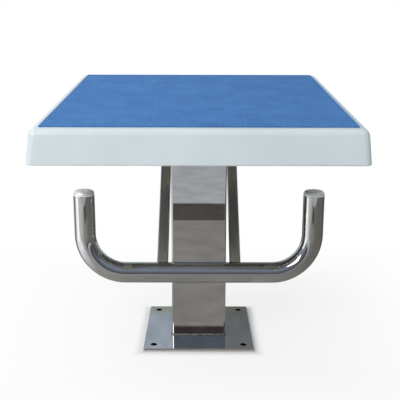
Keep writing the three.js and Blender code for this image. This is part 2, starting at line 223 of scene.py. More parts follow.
# %% Make the polished steels
mirror_sheet = polished_stainless(
    "stainless_304_mirror_buffed_sheet", "#CFCDC9", 0.012 * MM, (0.01, 0.035)
)
mirror_tube = polished_stainless(
    "stainless_304_mirror_buffed_tube", "#CDCCC9", 0.006 * MM, (0.02, 0.07)
)
hazy_tube = polished_stainless(
    "stainless_304_machine_polished_tube", "#CDCCC9", 0.006 * MM, (0.2, 0.28)
)
print("made", mirror_sheet.name, mirror_tube.name, hazy_tube.name)

# %% [markdown]
# ## Satin stainless steel
# The hidden frame is tube as it comes from the mill, brushed along its length.
# Scratches could be cut into the mesh, at a great cost in faces. Long thin noise
# does as well: its marks are some 0.4 mm wide and 40 mm long, and drive both the
# roughness and a slight bump.

# %% Satin stainless steel
SATIN = (0.28, 0.46)
MARK_WIDTH = 0.4 * MM
MARK_LENGTH = 40 * MM
MARK_DEPTH = 0.05 * MM


def brushed_stainless(name, tint, along, rough_range=SATIN, metallic=1.0):
    material = new_material(name)
    place = add(material, "ShaderNodeTexCoord").outputs["Object"]
    scale = [1 / (MARK_LENGTH if axis == along else MARK_WIDTH) for axis in "XYZ"]
    stretch = add(material, "ShaderNodeMapping", {"Vector": place, "Scale": scale})
    marks = add(
        material, "ShaderNodeTexNoise", {"Vector": stretch, "Scale": 1.0, "Detail": 2.0}
    )
    rough = add(
        material,
        "ShaderNodeMapRange",
        {"Value": marks, "To Min": rough_range[0], "To Max": rough_range[1]},
    )
    bump = add(
        material,
        "ShaderNodeBump",
        {"Height": marks, "Strength": 0.25, "Distance": MARK_DEPTH},
    )
    steel = add(
        material,
        "ShaderNodeBsdfPrincipled",
        {
            "Base Color": linear(tint),
            "Metallic": metallic,
            "Roughness": rough,
            "Normal": bump,
        },
    )
    return finish_material(material, steel)


print("brush marks", round(MARK_LENGTH / MM), "mm long")

# %% [markdown]
# ## Five satin steels
# A tube is brushed along its length, so the frame needs one finish along X and
# one along Y. The handle's caps are spun and then blasted. Blasting leaves a pale
# matt skin that scatters light as paint does, so the caps count as only half
# metallic. The fasteners and the flange are darker, as turned bar and pickled
# plate are.

# %% Make the satin steels
BLASTED = (0.42, 0.52)

satin_along_x = brushed_stainless("stainless_304_satin_along_x", "#CCCBC7", "X")
satin_along_y = brushed_stainless("stainless_304_satin_along_y", "#CCCBC7", "Y")
spun_cap = brushed_stainless(
    "stainless_304_spun_and_blasted", "#F2F2F0", "X", BLASTED, metallic=0.5
)
fastener_steel = brushed_stainless("stainless_a2_turned_fastener", "#A2A3A2", "Z")
mill_plate = brushed_stainless("stainless_304_hot_rolled_pickled_plate", "#B2B1AD", "Y")
print("satin steels made:", satin_along_x.name, "and four more")

# %% [markdown]
# ## Weld metal
# A bead that has been pickled after welding is matt and grey, with straw and
# bluish stains where the heat was. A noise 5 mm across mixes the stains, and
# the ripples themselves are geometry, made further down.

# %% Weld metal
STAIN = 5 * MM
STAINS = [(0.35, "#8A8172"), (0.65, "#A2A5A9")]

weld_bead_metal = new_material("stainless_weld_pickled")
place = add(weld_bead_metal, "ShaderNodeTexCoord").outputs["Object"]
stain = add(
    weld_bead_metal,
    "ShaderNodeTexNoise",
    {"Vector": place, "Scale": 1 / STAIN, "Detail": 3.0},
)
tint = add(weld_bead_metal, "ShaderNodeValToRGB", {"Fac": stain}, STAINS)
shader = add(
    weld_bead_metal,
    "ShaderNodeBsdfPrincipled",
    {"Base Color": tint, "Metallic": 1.0, "Roughness": 0.38},
)
finish_material(weld_bead_metal, shader)
print("made", weld_bead_metal.name)

# %% [markdown]
# ## Gelcoat over glass-fibre laminate
# The shell is laid up in a mould: white gelcoat first, then resin and glass mat
# behind it. Outside it is smooth and glossy with a slight orange peel. Inside
# the mat has only a brushed coat of pale grey resin, so it is dull and the
# strands print through. The inner faces could be picked out for a second
# material, but one can do both: a face that looks toward the shell's middle is
# inside.

# %% Inner side of the shell
MIDDLE_HEIGHT = 12 * MM  # of the shell's middle above its rim

shell_low, shell_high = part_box("platform_shell")
shell_middle = (shell_low + shell_high) / 2
shell_middle.z = shell_low.z + MIDDLE_HEIGHT

gelcoat = new_material("polyester_gelcoat_moulded")
place = add(gelcoat, "ShaderNodeTexCoord").outputs["Object"]
facing = add(gelcoat, "ShaderNodeNewGeometry").outputs["True Normal"]
from_middle = add(
    gelcoat, "ShaderNodeVectorMath", {0: place, 1: shell_middle}, operation="SUBTRACT"
)
outward = add(
    gelcoat,
    "ShaderNodeVectorMath",
    {0: facing, 1: from_middle},
    operation="DOT_PRODUCT",
).outputs["Value"]
inside = add(gelcoat, "ShaderNodeMath", {0: outward, 1: 0.0}, operation="LESS_THAN")
print("shell's middle in mm:", [round(v / MM) for v in shell_middle])

# %% [markdown]
# ## The shell's two surfaces
# The gelcoat's white is a little cloudy, over some 90 mm, and its orange peel is
# a low noise 9 mm across. The mat's strands are drawn as cells 4 mm across, each
# paler in its middle. The coat is the glossier of the two.

# %% Gelcoat
CLOUD = 90 * MM
PEEL = 9 * MM
PEEL_DEPTH = 0.1 * MM
STRAND = 4 * MM
COAT = [(0.3, "#CFD9DB"), (0.7, "#D6DFE1")]
BACK = [(0, "#D0D1CC"), (1, "#C0C2BC")]
COAT_ROUGHNESS, BACK_ROUGHNESS = 0.3, 0.6

cloud = add(
    gelcoat, "ShaderNodeTexNoise", {"Vector": place, "Scale": 1 / CLOUD, "Detail": 3.0}
)
coat_colour = add(gelcoat, "ShaderNodeValToRGB", {"Fac": cloud}, COAT)
strands = add(gelcoat, "ShaderNodeTexVoronoi", {"Vector": place, "Scale": 1 / STRAND})
back_colour = add(gelcoat, "ShaderNodeValToRGB", {"Fac": strands}, BACK)
# inputs 6 and 7 of a mix node are its two colours, and output 2 their mix
colour = add(
    gelcoat,
    "ShaderNodeMix",
    {0: inside, 6: coat_colour, 7: back_colour},
    data_type="RGBA",
).outputs[2]
rough = add(
    gelcoat,
    "ShaderNodeMapRange",
    {"Value": inside, "To Min": COAT_ROUGHNESS, "To Max": BACK_ROUGHNESS},
)
peel = add(
    gelcoat, "ShaderNodeTexNoise", {"Vector": place, "Scale": 1 / PEEL, "Detail": 2.0}
)
peel_bump = add(
    gelcoat,
    "ShaderNodeBump",
    {"Height": peel, "Strength": 0.35, "Distance": PEEL_DEPTH},
)
shader = add(
    gelcoat,
    "ShaderNodeBsdfPrincipled",
    {"Base Color": colour, "Roughness": rough, "IOR": 1.52, "Normal": peel_bump},
)
finish_material(gelcoat, shader)
print("made", gelcoat.name)

# %% [markdown]
# ## Anti-slip covering
# The tread is a blue rubber sheet with hard grit rolled into it. Real grit is
# about 0.6 mm across, which is finer than a pixel here, so it is drawn 1.6 mm
# wide. The blue is painted paler on the grains' tops and darker in the pits
# between them, a painted highlight and painted shade. Feet wear it unevenly,
# which shows as clouds some 40 mm across.

# %% Anti-slip covering
GRIT = 1.6 * MM
GRIT_HEIGHT = 0.4 * MM
WEAR = 40 * MM
WEAR_SHARE = 0.3  # how much the wear counts beside the grains
# from the painted shade in the pits to the painted highlight on the grains, with the wear
DARKEST, PALEST = 0.44, 0.86  # values of grains and wear together
BLUES = [(0, "#21589C"), (1, "#4788C6")]

grit_sheet = new_material("rubber_sheet_with_grit_rolled")
place = add(grit_sheet, "ShaderNodeTexCoord").outputs["Object"]
grains = add(
    grit_sheet, "ShaderNodeTexNoise", {"Vector": place, "Scale": 1 / GRIT, "Detail": 2.0}
)
wear = add(
    grit_sheet, "ShaderNodeTexNoise", {"Vector": place, "Scale": 1 / WEAR, "Detail": 4.0}
)
# the grains give a painted highlight and painted shade, and the wear clouds are real wear
both = add(
    grit_sheet,
    "ShaderNodeMath",
    {0: wear, 1: WEAR_SHARE, 2: grains},
    operation="MULTIPLY_ADD",
)
blue = add(
    grit_sheet,
    "ShaderNodeMapRange",
    {"Value": both, "From Min": DARKEST, "From Max": PALEST},
)
blue_ramp = add(grit_sheet, "ShaderNodeValToRGB", {"Fac": blue}, BLUES)
grit_bump = add(
    grit_sheet,
    "ShaderNodeBump",
    {"Height": grains, "Strength": 0.5, "Distance": GRIT_HEIGHT},
)
shader = add(
    grit_sheet,
    "ShaderNodeBsdfPrincipled",
    {"Base Color": blue_ramp, "Roughness": 0.82, "IOR": 1.5, "Normal": grit_bump},
)
finish_material(grit_sheet, shader)
print("made", grit_sheet.name)

# %% [markdown]
# ## Timber battens
# The battens are softwood, planed and brushed with the shell's pale resin, which
# keeps pool water out. The growth rings still show through as long bands about
# 3 mm apart that run along the board and wander a little. A wave texture draws
# them, stretched along the board so that they wander slowly.

# %% Timber
RING_SPACING = 3 * MM
RING_SCALE = 0.3  # a wave texture's scale times the spacing of its bands, roughly
GRAIN_STRETCH = 0.06  # how slowly the bands wander along the board
GRAIN = [(0, "#C6C0B0"), (1, "#ADA798")]

pine = new_material("pine_planed_and_resin_sealed")
place = add(pine, "ShaderNodeTexCoord").outputs["Object"]
squeeze = add(
    pine, "ShaderNodeMapping", {"Vector": place, "Scale": (GRAIN_STRETCH, 1.0, 1.0)}
)
rings = add(
    pine,
    "ShaderNodeTexWave",
    {
        "Vector": squeeze,
        "Scale": RING_SCALE / RING_SPACING,
        "Distortion": 4.0,
        "Detail": 2.0,
    },
    bands_direction="Y",
)
grain_ramp = add(pine, "ShaderNodeValToRGB", {"Fac": rings.outputs["Fac"]}, GRAIN)
shader = add(
    pine,
    "ShaderNodeBsdfPrincipled",
    {"Base Color": grain_ramp, "Roughness": 0.55, "IOR": 1.5},
)
finish_material(pine, shader)
print("made", pine.name)

# %% [markdown]
# ## Which finish each solid gets
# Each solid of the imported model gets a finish, even the few that a finer piece
# replaces further down. They could be listed one by one, but related pieces have
# names that start alike, so the start of a name picks the finish. It also picks
# how far the edges are rounded, from a tube's drawn edge to a planed board's.

# %% Finishes by name
# a name's start, the finish and the edge in mm; the first row that fits counts
FINISHES = [
    ("base_plate", mirror_sheet, 0.5),
    ("column_flange", mill_plate, 0.5),
    ("column_", weld_bead_metal, 0.0),
    ("column", mirror_sheet, 0.3),
    ("platform_shell", gelcoat, 0.4),
    ("anti_slip_mat", grit_sheet, 0.6),
    ("frame_side_rail", satin_along_y, 0.3),
    ("frame_front_rail", satin_along_x, 0.3),
    ("frame_rear_rail", satin_along_x, 0.3),
    ("frame_bearer", satin_along_x, 0.3),
    ("frame_", fastener_steel, 0.4),
    ("deck_batten", pine, 0.8),
    ("shell_screw", fastener_steel, 0.4),
    ("strut_plate", satin_along_x, 0.5),
    ("strut_bolt", fastener_steel, 0.4),
    ("strut_nut", fastener_steel, 0.4),
    ("strut_", hazy_tube, 0.2),
    ("handle_", mirror_tube, 0.2),
]
print("rows of finishes:", len(FINISHES))

# %% [markdown]
# ## Dressing the solids
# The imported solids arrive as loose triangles. Four modifiers turn them into
# surfaces that shade well: weld the corners, dissolve the flat triangles, round
# each sharp edge by a fraction of a millimetre so that it catches the light,
# and weight the normals so that large faces stay flat in a reflection.

# %% Dress the solids
WELD_WITHIN = 0.01 * MM
FLAT_WITHIN = math.radians(0.5)
SHARP = math.radians(32)
EDGE_SEGMENTS = 2
LARGE_FACES_FIRST = 100  # 50 would be neutral


def dress(node, material, edge):
    node.data.materials.clear()
    node.data.materials.append(material)
    node.data.polygons.foreach_set("use_smooth", [True] * len(node.data.polygons))
    weld = node.modifiers.new("weld", "WELD")
    weld.merge_threshold = WELD_WITHIN
    flat = node.modifiers.new("dissolve", "DECIMATE")
    flat.decimate_type = "DISSOLVE"
    flat.angle_limit = FLAT_WITHIN
    if edge:
        soften = node.modifiers.new("soften", "BEVEL")
        soften.width = edge * MM
        soften.segments = EDGE_SEGMENTS
        soften.limit_method = "ANGLE"
        soften.angle_limit = SHARP
    weigh = node.modifiers.new("normals", "WEIGHTED_NORMAL")
    weigh.weight = LARGE_FACES_FIRST
    weigh.keep_sharp = True


for name, node in sorted(nodes.items()):
    _, material, edge = next(row for row in FINISHES if name.startswith(row[0]))
    dress(node, material, edge)
print("dressed", len(nodes), "solids")

# %% [markdown]
# ## Helpers for new meshes
# The tube, its caps and the weld beads are rings of points joined by quads. A
# curve with a bevel would make them too, but rings joined by hand give clean
# ends and the tube's inside. A new piece rides with the block and takes the
# place of the solid that it was measured from.

# %% Mesh helpers
CREASE = math.radians(40)


def loop_faces(rings, sides, closed=False):
    """Quads between rings of points; the last ring joins the first if closed."""
    faces = []
    for ring in range(rings if closed else rings - 1):
        a, b = ring * sides, (ring + 1) % rings * sides
        for i in range(sides):
            j = (i + 1) % sides
            faces.append((a + i, a + j, b + j, b + i))
    return faces


def new_piece(name, points, faces, material, *stands_for):
    """A smooth piece with its faces turned outward and creases at sharp edges."""
    mesh = bpy.data.meshes.new(name)
    mesh.from_pydata(points, [], faces)
    mesh.update()
    work = bmesh.new()
    work.from_mesh(mesh)
    bmesh.ops.recalc_face_normals(work, faces=work.faces)
    work.to_mesh(mesh)
    work.free()
    mesh.polygons.foreach_set("use_smooth", [True] * len(mesh.polygons))
    mesh.set_sharp_from_angle(angle=CREASE)
    mesh.materials.append(material)
    piece = bpy.data.objects.new(name, mesh)
    bpy.context.scene.collection.objects.link(piece)
    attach(piece, "root")
    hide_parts(*stands_for)
    return piece


print("creases above", round(math.degrees(CREASE)), "degrees")

# %% [markdown]
# ## The handle's route
# The grip is one length of 38 mm tube, drawn round a former at two places. Its
# centre line could be a curve object. Straight runs and two round bends are just
# as easily worked out point by point, and each point then keeps its direction.
# The left half is worked out, and the right half is its mirror image.

# %% Route of the handle
BEND_RADIUS = 73 * MM
BEND_STEPS = 48

handle_low, handle_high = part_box("handle_bar")
tube_radius = (handle_high.y - handle_low.y) / 2
handle_y = (handle_high.y + handle_low.y) / 2
bar_height = handle_low.z + tube_radius
upright_x = handle_high.x - tube_radius


def handle_route():
    """Centre-line points with their directions, from the left end to the right."""
    half = [(Vector((-upright_x, handle_y, handle_high.z)), Vector((0, 0, -1)))]
    centre = Vector((-upright_x + BEND_RADIUS, handle_y, bar_height + BEND_RADIUS))
    for step in range(BEND_STEPS + 1):
        angle = QUARTER_TURN * step / BEND_STEPS
        out = Vector((-math.cos(angle), 0, -math.sin(angle)))
        along = Vector((math.sin(angle), 0, -math.cos(angle)))
        half.append((centre + out * BEND_RADIUS, along))
    mirrored = [
        (Vector((-p.x, p.y, p.z)), Vector((d.x, 0, -d.z))) for p, d in reversed(half)
    ]
    return half + mirrored


route = handle_route()
print("points along the handle:", len(route))

# %% [markdown]
# ## The handle's tube
# The solid has 28 flat sides, which a mirror finish would betray, so the tube is
# swept again with many more. Its outer wall runs from the left end to the right
# and its inner wall back again, so that both open ends get their rims.

# %% Sweep the handle
TUBE_WALL = 1.5 * MM
TUBE_SIDES = 96
FULL_TURN = 2 * math.pi

walls = [(point, along, tube_radius) for point, along in route]
walls += [(point, along, tube_radius - TUBE_WALL) for point, along in reversed(route)]
back = Vector((0, 1, 0))
points = []
for point, along, radius in walls:
    up = back.cross(along)
    for i in range(TUBE_SIDES):
        angle = FULL_TURN * i / TUBE_SIDES
        points.append(point + (back * math.cos(angle) + up * math.sin(angle)) * radius)
faces = loop_faces(len(walls), TUBE_SIDES, closed=True)
tube = new_piece("handle_tube", points, faces, mirror_tube, "handle_bar")
print("handle tube:", len(tube.data.polygons), "faces")

# %% [markdown]
# ## The handle's end caps
# Each end is closed by a spun cap: a short rim, a round shoulder and a top that
# is almost flat. It is a profile turned about the tube's centre line, as the
# real one is turned on a lathe. Its crown is flatter than the solid's, so that
# it catches the light as one pale disc.

# %% The caps' profile
CAP_RIM = 2.2 * MM
CAP_SHOULDER = 7 * MM
CAP_CROWN = 0.3 * MM
SPIGOT_GAP = 0.3 * MM  # round the part that sits in the tube
SHOULDER_STEPS = 14
CROWN_STEPS = 8


def cap_profile(bottom, top):
    """Pairs of radius and height, from the spigot's underside to the crown."""
    foot = top - CAP_CROWN - CAP_SHOULDER - CAP_RIM
    spigot = tube_radius - TUBE_WALL - SPIGOT_GAP
    profile = [(0, bottom), (spigot, bottom), (spigot, foot), (tube_radius, foot)]
    inner = tube_radius - CAP_SHOULDER
    for step in range(SHOULDER_STEPS + 1):
        angle = QUARTER_TURN * step / SHOULDER_STEPS
        rise = CAP_RIM + CAP_SHOULDER * math.sin(angle)
        profile.append((inner + CAP_SHOULDER * math.cos(angle), foot + rise))
    for step in range(1, CROWN_STEPS + 1):
        share = step / CROWN_STEPS
        profile.append((inner * (1 - share), top - CAP_CROWN * (1 - share) ** 2))
    return profile


print("cap in mm:", round((CAP_RIM + CAP_SHOULDER + CAP_CROWN) / MM, 1), "high")

# %% [markdown]
# ## Turning a profile
# A lathe makes every section round. Here each point of the profile becomes a
# ring, and the first and the last point, which lie on the axis, close the ends
# with triangles. Blender's screw modifier could turn it too, but its seam would
# then have to be merged.

# %% Turn the caps
CAP_TOP_GAP = 1.2 * MM  # from the solid's crown down to this one
CAP_SIDES = 72


def turned(profile, centre, sides):
    """Points and faces of a profile turned about an upright axis."""
    points = [Vector((centre.x, centre.y, profile[0][1]))]
    for radius, height in profile[1:-1]:
        for i in range(sides):
            angle = FULL_TURN * i / sides
            x = centre.x + radius * math.cos(angle)
            y = centre.y + radius * math.sin(angle)
            points.append(Vector((x, y, height)))
    points.append(Vector((centre.x, centre.y, profile[-1][1])))
    rings = len(profile) - 2
    faces = [tuple(v + 1 for v in face) for face in loop_faces(rings, sides)]
    last = len(points) - 1
    top = last - sides
    for i in range(sides):
        j = (i + 1) % sides
        faces += [(0, 1 + i, 1 + j), (last, top + i, top + j)]
    return points, faces


for side in ("left", "right"):
    solid = f"handle_end_cap_{side}"
    low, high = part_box(solid)
    profile = cap_profile(low.z, high.z - CAP_TOP_GAP)
    points, faces = turned(profile, (low + high) / 2, CAP_SIDES)
    cap = new_piece(f"handle_cap_{side}", points, faces, spun_cap, solid)
print("caps turned, each with", len(faces), "faces")

# %% [markdown]
# ## The beads' route
# A bead runs once round the column, along four straight sides and four round
# corners. A curve object could carry it, but the ripples need a point every
# 0.6 mm with its direction away from the steel, so the route is worked out.

# %% Route round the column
BEAD_STEP = 0.6 * MM
COLUMN_CORNER = 3 * MM


def rounded_route(half_x, half_y, radius):
    """Points and outward directions round a rectangle with round corners."""
    route = []
    corners = [(1, 1, 0), (-1, 1, 90), (-1, -1, 180), (1, -1, 270)]
    for index, (sx, sy, start) in enumerate(corners):
        centre = Vector((sx * (half_x - radius), sy * (half_y - radius), 0))
        steps = round(QUARTER_TURN * radius / BEAD_STEP)
        for step in range(steps + 1):
            angle = math.radians(start + 90 * step / steps)
            out = Vector((math.cos(angle), math.sin(angle), 0))
            route.append((centre + out * radius, out))
        nx, ny, _ = corners[(index + 1) % len(corners)]
        end = Vector((nx * (half_x - radius), ny * (half_y - radius), 0)) + out * radius
        begin = centre + out * radius
        count = round((end - begin).length / BEAD_STEP)
        route += [(begin.lerp(end, k / count), out) for k in range(1, count)]
    return route


_, column_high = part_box("column")
bead_route = rounded_route(column_high.x, column_high.y, COLUMN_CORNER)
print("points round the column:", len(bead_route))

# %% [markdown]
# ## Weld beads
# A hand-laid bead is a row of overlapping ripples, each left when the pool of
# metal froze. Here a small rounded section runs round the column's corners, and
# its size swells and sinks every 2.4 mm, with a little unevenness from a fixed
# noise. Bump alone would leave the bead's outline smooth.

# %% Lay the beads
RIPPLE = 2.4 * MM
UNEVEN = 7 * MM
SECTION_POINTS = 7
BEAD_GAP = 0.1 * MM  # to the steel that it joins
LEAST_SHARE = 0.8  # these three are shares of the weld's leg
RIPPLE_SHARE = 0.14
UNEVEN_SHARE = 0.06
RISE_SHARE = 0.75  # of the reach, because the metal sinks while it is liquid


def lay_bead(name, node, upward):
    low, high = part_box(node)
    leg = high.z - low.z
    points = []
    travelled = 0.0
    for index, (place, out) in enumerate(bead_route):
        travelled += (place - bead_route[index - 1][0]).length if index else 0.0
        ripple = abs(math.sin(math.pi * travelled / RIPPLE))
        uneven = noise.noise(place / UNEVEN)
        reach = leg * (LEAST_SHARE + RIPPLE_SHARE * ripple + UNEVEN_SHARE * uneven)
        for k in range(SECTION_POINTS):
            angle = QUARTER_TURN * k / (SECTION_POINTS - 1)
            rise = RISE_SHARE * reach * math.sin(angle)
            at = place + out * (BEAD_GAP + reach * math.cos(angle))
            points.append(Vector((at.x, at.y, low.z + rise if upward else high.z - rise)))
        root = place + out * BEAD_GAP
        points.append(Vector((root.x, root.y, low.z if upward else high.z)))
    faces = loop_faces(len(bead_route), SECTION_POINTS + 1, closed=True)
    bead = new_piece(name, points, faces, weld_bead_metal, node)
    return len(faces)


print("foot bead:", lay_bead("foot_weld_bead", "column_base_weld", True), "faces")
print("top bead:", lay_bead("top_weld_bead", "column_top_weld", False), "faces")

# %% [markdown]
# ## Panels
# The floor and all the cards of the studio are flat panels with four corners.
# Each is made from its corners directly, so that a coordinate in its material is
# also a place in the room.

# %% Panel helpers
def panel(name, corners):
    """A flat piece with four corners and no thickness."""
    mesh = bpy.data.meshes.new(name)
    mesh.from_pydata([Vector(c) for c in corners], [], [(0, 1, 2, 3)])
    piece = bpy.data.objects.new(name, mesh)
    bpy.context.scene.collection.objects.link(piece)
    return piece


def lying(x0, x1, y0, y1, z):
    """Corners of a level panel."""
    return [(x0, y0, z), (x1, y0, z), (x1, y1, z), (x0, y1, z)]


def standing(x0, x1, y, z0, z1):
    """Corners of an upright panel that faces along Y."""
    return [(x0, y, z0), (x1, y, z0), (x1, y, z1), (x0, y, z1)]


def side_on(x, y0, y1, z0, z1):
    """Corners of an upright panel that faces along X."""
    return [(x, y0, z0), (x, y1, z0), (x, y1, z1), (x, y0, z1)]


print("a panel one metre square:", lying(0, 1, 0, 1, 0))

# %% [markdown]
# ## The studio's floor
# The floor is plain and pale. It shows white where the camera or a reflection
# looks at it, and keeps the block's shadow near the plate: a mask grows from
# nothing at the plate's edge to full white half a metre out. Under the plate's
# four anchor holes the floor carries a painted shade, nearly black, so that the
# holes read dark.

# %% Floor
FLOOR_SIZE = 12.0
ANCHOR_PLACE = Vector((82, 82, 0)) * MM
SPOT_RADIUS = 7.5 * MM
SPOT_SOFT_END = 8.5 * MM
# the painted shade under the anchor holes, and the floor's own paint
SPOT_GREY, PAINT_GREY = 0.02, 0.9


def seen_directly(owner):
    """1 for the camera's rays and for rays mirrored or passed on by a surface."""
    path = add(owner, "ShaderNodeLightPath")
    seen = path.outputs["Is Camera Ray"]
    for kind in ("Is Glossy Ray", "Is Transmission Ray"):
        both = {0: seen, 1: path.outputs[kind]}
        seen = add(owner, "ShaderNodeMath", both, operation="MAXIMUM").outputs["Value"]
    return seen


half = FLOOR_SIZE / 2
floor = panel("floor", lying(-half, half, -half, half, 0))
floor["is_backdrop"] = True

pale_floor = new_material("studio_floor_matt_white")
place = add(pale_floor, "ShaderNodeTexCoord").outputs["Object"]
quarter = add(pale_floor, "ShaderNodeVectorMath", {0: place}, operation="ABSOLUTE")
from_anchor = add(
    pale_floor,
    "ShaderNodeVectorMath",
    {0: quarter, 1: ANCHOR_PLACE},
    operation="DISTANCE",
).outputs["Value"]
# the floor's paint, with a painted shade in four spots under the anchor holes
bare = add(
    pale_floor,
    "ShaderNodeMapRange",
    {
        "Value": from_anchor,
        "From Min": SPOT_RADIUS,
        "From Max": SPOT_SOFT_END,
        "To Min": SPOT_GREY,
        "To Max": PAINT_GREY,
    },
)
paint = add(pale_floor, "ShaderNodeBsdfDiffuse", {"Color": bare})
white = add(
    pale_floor, "ShaderNodeEmission", {"Color": linear("#FFFFFF"), "Strength": 1.0}
)
print("floor", FLOOR_SIZE, "m across")

# %% [markdown]
# ## The floor's shadow mask
# The distance from the plate is the larger of the two coordinates, because the
# plate is square. It runs through a ramp that eases in and out, and the mask
# counts only for rays that see the floor. For light that bounces off it on to
# the block, the floor is plain paint.

# %% Shadow mask
PLATE_EDGE = 0.1  # half the plate's side
INSIDE_EDGE = 0.005  # how far under the plate the mask starts
FADE = 0.5  # from the plate's edge to full white
NEAR_STOP = 0.05  # the mask grows fast up to here
NEAR_WHITE = 0.8

apart = add(pale_floor, "ShaderNodeSeparateXYZ", {"Vector": quarter})
outside = add(
    pale_floor,
    "ShaderNodeMath",
    {0: apart.outputs["X"], 1: apart.outputs["Y"]},
    operation="MAXIMUM",
)
distance = add(
    pale_floor,
    "ShaderNodeMapRange",
    {
        "Value": outside,
        "From Min": PLATE_EDGE - INSIDE_EDGE,
        "From Max": PLATE_EDGE + FADE,
    },
)
mask = add(pale_floor, "ShaderNodeValToRGB", {"Fac": distance})
mask.color_ramp.interpolation = "EASE"
near_stop = mask.color_ramp.elements.new(NEAR_STOP)
near_stop.color = (NEAR_WHITE, NEAR_WHITE, NEAR_WHITE, 1)
share = add(
    pale_floor,
    "ShaderNodeMath",
    {0: mask, 1: seen_directly(pale_floor)},
    operation="MULTIPLY",
)
shader = add(pale_floor, "ShaderNodeMixShader", {0: share, 1: paint, 2: white})
finish_material(pale_floor, shader)
floor.data.materials.append(pale_floor)
print("mask stops:", [round(e.position, 3) for e in mask.color_ramp.elements])

# %% [markdown]
# ## The light of the room
# The world gives an even light, a little cooler than white. A sky picture would
# put its own clouds into the steel. As on the floor, a ray that sees the world
# directly or in a mirror meets plain white. The Standard view transform shows a
# colour about as it is written, where a film-like one would grey the whites.

# %% World
ROOM_LIGHT = "#E8EEF2"
ROOM_STRENGTH = 0.55

world = bpy.data.worlds.new("studio")
bpy.context.scene.world = world
world.use_nodes = True
world.node_tree.nodes.clear()
seen = seen_directly(world)
light = add(
    world,
    "ShaderNodeBackground",
    {"Color": linear(ROOM_LIGHT), "Strength": ROOM_STRENGTH},
)
white = add(
    world, "ShaderNodeBackground", {"Color": linear("#FFFFFF"), "Strength": 1.0}
)
mix = add(world, "ShaderNodeMixShader", {0: seen, 1: light, 2: white})
add(world, "ShaderNodeOutputWorld", {"Surface": mix})
bpy.context.scene.view_settings.view_transform = "Standard"
print("room light", ROOM_LIGHT, "at", ROOM_STRENGTH)

# %% [markdown]
# ## Paint for the cards
# Polished steel has no colour of its own to show, so in a studio grey cards are
# set up around it. A card here glows with a ramp of plain colours along one axis,
# given as places in metres and hex colours, and what the steel shows of it is a
# painted reflection. A picture could be put on it, but a slow noise is enough to
# make that painted reflection a little uneven and keeps the steel from looking
# printed.

# %% Card paint
CARD_CLOUD = 90 * MM
# how uneven the cards' painted reflections are
CARD_UNEVEN = 0.16
CLOUD_LOW, CLOUD_HIGH = 0.25, 0.75  # noise values of the dimmest and brightest spot


def card_paint(name, axis, stops, strength):
    paint = new_material(name)
    place = add(paint, "ShaderNodeTexCoord").outputs["Object"]
    apart = add(paint, "ShaderNodeSeparateXYZ", {"Vector": place})
    first, last = stops[0][0], stops[-1][0]
    along = add(
        paint,
        "ShaderNodeMapRange",
        {"Value": apart.outputs[axis], "From Min": first, "From Max": last},
    )
    shares = [((at - first) / (last - first), colour) for at, colour in stops]
    ramp = add(paint, "ShaderNodeValToRGB", {"Fac": along}, shares)
    cloud = add(
        paint,
        "ShaderNodeTexNoise",
        {"Vector": place, "Scale": 1 / CARD_CLOUD, "Detail": 3.0},
    )
    # uneven glow of the painted reflection
    level = add(
        paint,
        "ShaderNodeMapRange",
        {
            "Value": cloud,
            "From Min": CLOUD_LOW,
            "From Max": CLOUD_HIGH,
            "To Min": strength * (1 - CARD_UNEVEN),
            "To Max": strength * (1 + CARD_UNEVEN),
        },
    )
    glow = add(paint, "ShaderNodeEmission", {"Color": ramp, "Strength": level})
    return finish_material(paint, glow)


print("a card is uneven by", CARD_UNEVEN)

# %% [markdown]
# ## Cards for the reflections
# A lit board would also brighten the block and throw a shadow on it. These cards
# are hidden from the camera and from matt surfaces and cast no shadow, so only
# what mirrors them can show them.

# %% Card builder
def card(name, corners, axis, stops, strength=1.0):
    piece = panel(name, corners)
    piece.data.materials.append(card_paint(name + "_paint", axis, stops, strength))
    piece.visible_camera = False
    piece.visible_diffuse = False
    piece.visible_shadow = False
    piece.visible_transmission = False
    piece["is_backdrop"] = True


print("helper:", card.__name__)

# %% [markdown]
# ## Painted reflections of the floor
# The floor's cards are what the column, the bar and the uprights look at. Near
# the block they paint the floor's reflection brown-grey, paler toward the left.
# A dark strip across them paints the band on the column, and the column's upper
# part shows the paler painted floor beyond it. Several cards share these greys,
# so the ramps come first.

# %% Ramps for the floor
FLOOR_SIDE = 3
FLOOR_NEAR_END = -5
PLATE_CLEAR = 0.101  # just past the plate's edge
BAND_FAR = -1.144
BAND_LEFT, BAND_RIGHT = -0.1, 0.13
BRIGHT_EDGE = -0.26
PALE, WARM_GREY, GREY, DULL_GREY = "#DADDE2", "#A4A39F", "#989797", "#969595"
BROWN, DEEP_BROWN, BAND = "#7E7C78", "#74726E", "#585654"
ACROSS = [
    (-0.73, PALE),
    (-0.48, "#CBCFD2"),
    (-0.21, WARM_GREY),
    (-0.1, GREY),
    (0.15, DULL_GREY),
    (0.34, BROWN),
    (0.9, DEEP_BROWN),
]
TO_LEFT = [(-FLOOR_SIDE, PALE), (-0.73, PALE), (-0.21, WARM_GREY), (-PLATE_CLEAR, GREY)]
TO_THE_WALL = [(0.34, BROWN), (0.9, DEEP_BROWN), (FLOOR_SIDE, DEEP_BROWN)]
TO_RIGHT = [(PLATE_CLEAR, DULL_GREY), *TO_THE_WALL]
BEYOND = [(BAND_RIGHT, BAND), *TO_THE_WALL]
DARK = [(BAND_LEFT, BAND), (BAND_RIGHT, BAND)]
FAR = [(FLOOR_NEAR_END, "#A7ABB2"), (BAND_FAR, "#BEC3CA")]
REAR = [
    (-0.9, "#9A9CA2"),
    (-0.62, "#8C8E94"),
    (-0.2, "#787E82"),
    (0.42, "#5A5D5B"),
    (0.9, "#62625F"),
]
BRIGHT = [(-FLOOR_SIDE, "#FFFFFF"), (-0.5, "#F4F8FF"), (BRIGHT_EDGE, "#919190")]
print("greys across the near floor:", len(ACROSS))

# %% [markdown]
# ## Cards on the floor
# One large card with a picture of the floor would do, but a card takes its greys
# along one axis, so nine pieces make the floor up. They leave the plate's own
# square open, because a card inside the anchor holes would light them up.

